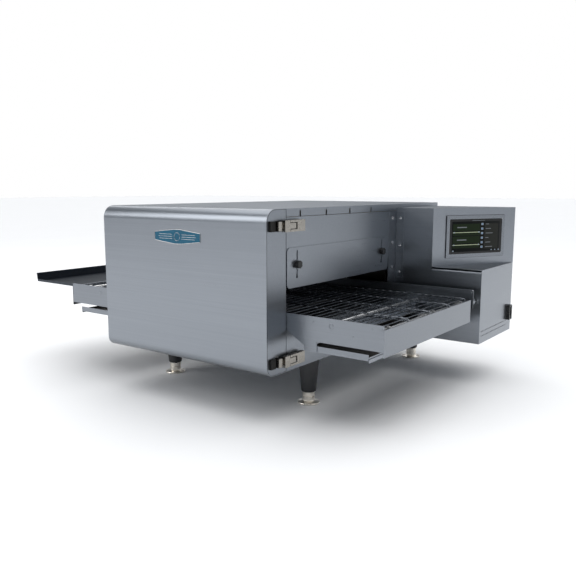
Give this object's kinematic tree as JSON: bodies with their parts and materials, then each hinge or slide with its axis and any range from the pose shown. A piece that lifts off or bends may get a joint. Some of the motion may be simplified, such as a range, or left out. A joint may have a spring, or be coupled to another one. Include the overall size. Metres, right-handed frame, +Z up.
{
  "type": "countertop conveyor oven",
  "caption": "Countertop conveyor oven with a wire belt, latched wrap-round front, adjustable baffles, landing shelf and slanted touch control box.",
  "frame": {"origin": "middle of the bounding box at the surface the feet stand on", "axes": "+X along the belt towards the control box and delivery end, +Y to the back, +Z up"},
  "size_m": [1.102, 0.8, 0.433],
  "materials": {
    "shell_stainless": "fine brushed grain, satin",
    "conveyor_stainless": "brushed, a little brighter than the shell",
    "chamber_steel": "heat-stained, matt",
    "landing_steel": "dark satin",
    "belt_wire": "drawn wire, heat darkened",
    "turned_steel": "turned bright steel",
    "sprocket_steel": "machined, satin",
    "latch_steel": "bright pressed steel",
    "knob_black": "moulded black",
    "bearing_black": "black high-temperature polymer",
    "leg_black": "moulded black, slight sheen",
    "foot_chrome": "warm bright plating",
    "badge_blue": "blue enamel with a pale rim",
    "bezel_steel": "dark satin frame",
    "screen_glass": "lit display behind clear plastic",
    "switch_black": "black moulded",
    "gland_black": "black nylon",
    "wool": "mineral wool board",
    "motor_paint": "dark enamel",
    "board_green": "solder mask",
    "heater_sheath": "oxidised sheath"
  },
  "bodies": {
    "oven": {"base_pan": "shell_stainless", "belt_gearmotor": "motor_paint", "blower_motor": "motor_paint", "chamber_insulation": "wool", "chamber_liner": "chamber_steel", "control_board": "board_green", "control_box_base": "shell_stainless", "control_box_hood": "shell_stainless", "conveyor_belt": "belt_wire", "conveyor_cross_ties": "turned_steel", "conveyor_front_rail": "conveyor_stainless", "conveyor_rear_rail": "conveyor_stainless", "cooling_fan_frame": "gland_black", "delivery_end_guard": "conveyor_stainless", "door_hinge_leaves": "turned_steel", "heating_element": "heater_sheath", "latch_bases": "sprocket_steel", "left_end_panel": "shell_stainless", "legs": "leg_black", "lower_air_finger": "chamber_steel", "lower_jet_plate": "chamber_steel", "panel_screws": "turned_steel", "power_gland": "gland_black", "power_switch_body": "switch_black", "rear_panel": "shell_stainless", "right_end_panel": "shell_stainless", "screen_bezel": "bezel_steel", "shaft_bearings": "bearing_black", "top_cover": "shell_stainless", "touchscreen": "screen_glass", "upper_air_finger": "chamber_steel", "upper_jet_plate": "chamber_steel"},
    "front_door": {"front_door_skin": "shell_stainless", "front_door_liner": "chamber_steel", "badge_plate": "badge_blue", "latch_keepers": "sprocket_steel", "door_hinge_knuckles": "turned_steel"},
    "belt_drive": {"drive_shaft": "turned_steel", "drive_sprockets": "sprocket_steel"},
    "belt_idler": {"idler_shaft": "turned_steel"},
    "blower": {"blower_impeller": "sprocket_steel"},
    "cooling_fan": {"cooling_fan_rotor": "gland_black"},
    "upper_latch_lever": {"upper_latch_lever": "latch_steel"},
    "upper_latch_hook": {"upper_latch_hook": "latch_steel"},
    "lower_latch_lever": {"lower_latch_lever": "latch_steel"},
    "lower_latch_hook": {"lower_latch_hook": "latch_steel"},
    "right_baffle": {"right_baffle": "conveyor_stainless"},
    "left_baffle": {"left_baffle": "conveyor_stainless"},
    "right_baffle_front_knob": {"right_baffle_front_knob": "knob_black"},
    "right_baffle_rear_knob": {"right_baffle_rear_knob": "knob_black"},
    "left_baffle_front_knob": {"left_baffle_front_knob": "knob_black"},
    "left_baffle_rear_knob": {"left_baffle_rear_knob": "knob_black"},
    "right_crumb_tray": {"right_crumb_tray": "conveyor_stainless"},
    "left_crumb_tray": {"left_crumb_tray": "conveyor_stainless"},
    "landing_tray": {"landing_tray": "landing_steel"},
    "power_rocker": {"power_rocker": "switch_black"},
    "front_right_foot": {"front_right_foot": "foot_chrome"},
    "front_left_foot": {"front_left_foot": "foot_chrome"},
    "rear_right_foot": {"rear_right_foot": "foot_chrome"},
    "rear_left_foot": {"rear_left_foot": "foot_chrome"}
  },
  "joints": [
    {"name": "front_door_hinge", "type": "hinge", "parent": "oven", "child": "front_door", "pos_m": [-0.171, -0.336, 0.268], "axis": [0, 0, -1], "range_deg": [0, 90]},
    {"name": "upper_latch_turn", "type": "hinge", "parent": "oven", "child": "upper_latch_lever", "pos_m": [0.323, -0.335, 0.3995], "axis": [0, 0, -1], "range_deg": [0, 95]},
    {"name": "upper_hook_turn", "type": "hinge", "parent": "upper_latch_lever", "child": "upper_latch_hook", "pos_m": [0.324, -0.323, 0.3995], "axis": [0, 0, -1], "range_deg": [-95, 0]},
    {"name": "lower_latch_turn", "type": "hinge", "parent": "oven", "child": "lower_latch_lever", "pos_m": [0.323, -0.335, 0.1285], "axis": [0, 0, -1], "range_deg": [0, 95]},
    {"name": "lower_hook_turn", "type": "hinge", "parent": "lower_latch_lever", "child": "lower_latch_hook", "pos_m": [0.324, -0.323, 0.1285], "axis": [0, 0, -1], "range_deg": [-95, 0]},
    {"name": "right_baffle_height", "type": "slide", "parent": "oven", "child": "right_baffle", "axis": [0, 0, 1], "range_m": [-0.0254, 0.0254]},
    {"name": "right_front_knob_turn", "type": "hinge", "parent": "oven", "child": "right_baffle_front_knob", "pos_m": [0.315, -0.301, 0.32], "axis": [1, 0, 0], "range_deg": [0, 360]},
    {"name": "right_rear_knob_turn", "type": "hinge", "parent": "oven", "child": "right_baffle_rear_knob", "pos_m": [0.315, 0.052, 0.32], "axis": [1, 0, 0], "range_deg": [0, 360]},
    {"name": "right_crumb_tray_pull", "type": "slide", "parent": "oven", "child": "right_crumb_tray", "axis": [1, 0, 0], "range_m": [0, 0.15]},
    {"name": "left_baffle_height", "type": "slide", "parent": "oven", "child": "left_baffle", "axis": [0, 0, 1], "range_m": [-0.0254, 0.0254]},
    {"name": "left_front_knob_turn", "type": "hinge", "parent": "oven", "child": "left_baffle_front_knob", "pos_m": [-0.166, -0.301, 0.32], "axis": [-1, 0, 0], "range_deg": [0, 360]},
    {"name": "left_rear_knob_turn", "type": "hinge", "parent": "oven", "child": "left_baffle_rear_knob", "pos_m": [-0.166, 0.052, 0.32], "axis": [-1, 0, 0], "range_deg": [0, 360]},
    {"name": "left_crumb_tray_pull", "type": "slide", "parent": "oven", "child": "left_crumb_tray", "axis": [-1, 0, 0], "range_m": [0, 0.15]},
    {"name": "landing_tray_pull", "type": "slide", "parent": "oven", "child": "landing_tray", "axis": [-1, 0, 0], "range_m": [0, 0.06]},
    {"name": "belt_drive_turn", "type": "hinge", "parent": "oven", "child": "belt_drive", "pos_m": [0.52, 0, 0.207], "axis": [0, 1, 0], "continuous": true},
    {"name": "belt_idler_turn", "type": "hinge", "parent": "oven", "child": "belt_idler", "pos_m": [-0.371, 0, 0.207], "axis": [0, 1, 0], "continuous": true},
    {"name": "blower_turn", "type": "hinge", "parent": "oven", "child": "blower", "pos_m": [0.0745, 0.14, 0.268], "axis": [0, 1, 0], "continuous": true},
    {"name": "cooling_fan_turn", "type": "hinge", "parent": "oven", "child": "cooling_fan", "pos_m": [0.19, 0.36, 0.19], "axis": [0, 1, 0], "continuous": true},
    {"name": "power_rocker_tilt", "type": "hinge", "parent": "oven", "child": "power_rocker", "pos_m": [0.5425, 0.329, 0.152], "axis": [0, 1, 0], "range_deg": [0, 16]},
    {"name": "front_right_foot_turn", "type": "hinge", "parent": "oven", "child": "front_right_foot", "pos_m": [0.2857, -0.213, 0.03], "axis": [0, 0, 1], "range_deg": [0, 360]},
    {"name": "front_left_foot_turn", "type": "hinge", "parent": "oven", "child": "front_left_foot", "pos_m": [-0.1367, -0.213, 0.03], "axis": [0, 0, 1], "range_deg": [0, 360]},
    {"name": "rear_right_foot_turn", "type": "hinge", "parent": "oven", "child": "rear_right_foot", "pos_m": [0.2857, 0.2955, 0.03], "axis": [0, 0, 1], "range_deg": [0, 360]},
    {"name": "rear_left_foot_turn", "type": "hinge", "parent": "oven", "child": "rear_left_foot", "pos_m": [-0.1367, 0.2955, 0.03], "axis": [0, 0, 1], "range_deg": [0, 360]}
  ],
  "couplings": [
    {"joint": "upper_hook_turn", "follows": "upper_latch_turn", "ratio": -1},
    {"joint": "lower_hook_turn", "follows": "lower_latch_turn", "ratio": -1},
    {"joint": "belt_idler_turn", "follows": "belt_drive_turn", "ratio": 1}
  ]
}
